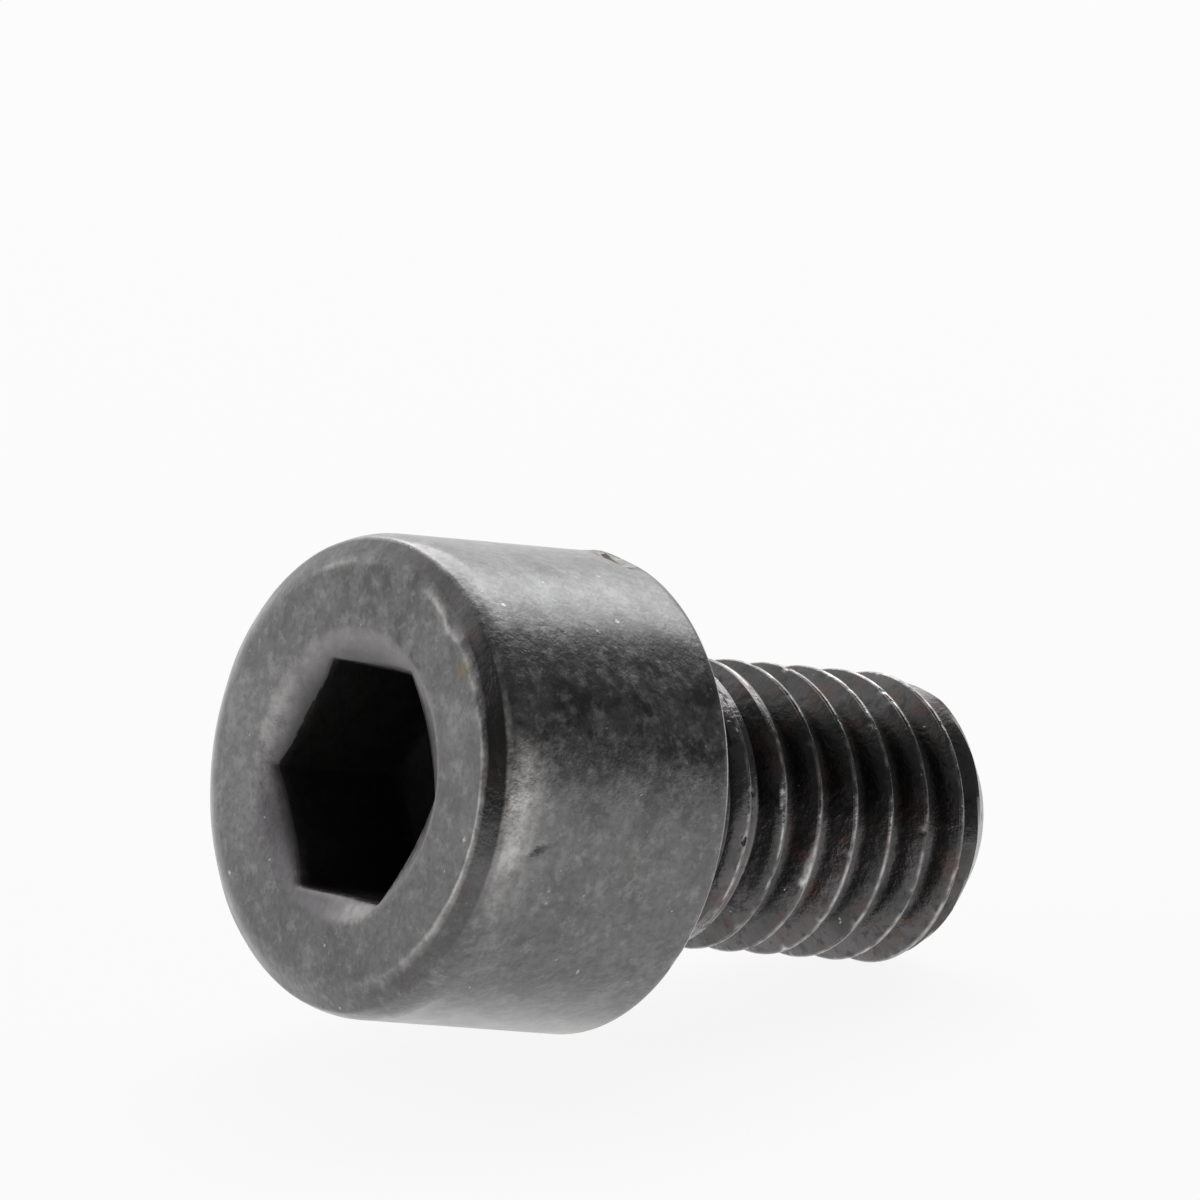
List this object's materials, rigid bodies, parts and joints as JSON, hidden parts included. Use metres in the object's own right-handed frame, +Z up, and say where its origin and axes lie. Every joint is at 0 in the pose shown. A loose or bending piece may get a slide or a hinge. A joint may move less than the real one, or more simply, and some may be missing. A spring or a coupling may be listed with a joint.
{
  "type": "socket head cap screw",
  "caption": "Short, fully threaded socket head cap screw in black-oxided steel: a tall smooth round head with a hexagon socket in its flat top, lying on its side.",
  "frame": {"origin": "On the surface the screw lies on, below the middle of its bounding box.", "axes": "+Z up. The screw lies along X, its head towards -X and its tip towards +X. Its own axis is tilted about 13.2 degrees, tip down, in the XZ plane, because it rests on the corner of the rim under its head and on its last full thread crest. +Y completes the right-handed frame."},
  "size_m": [0.0214, 0.013, 0.0142],
  "materials": {
    "black_oxide_steel": "black oxide with a light film of oil, matte on the head and glossy in the thread, worn bright along the edges and thread crests"
  },
  "bodies": {
    "root": {"cap_screw": "black_oxide_steel"}
  },
  "joints": []
}
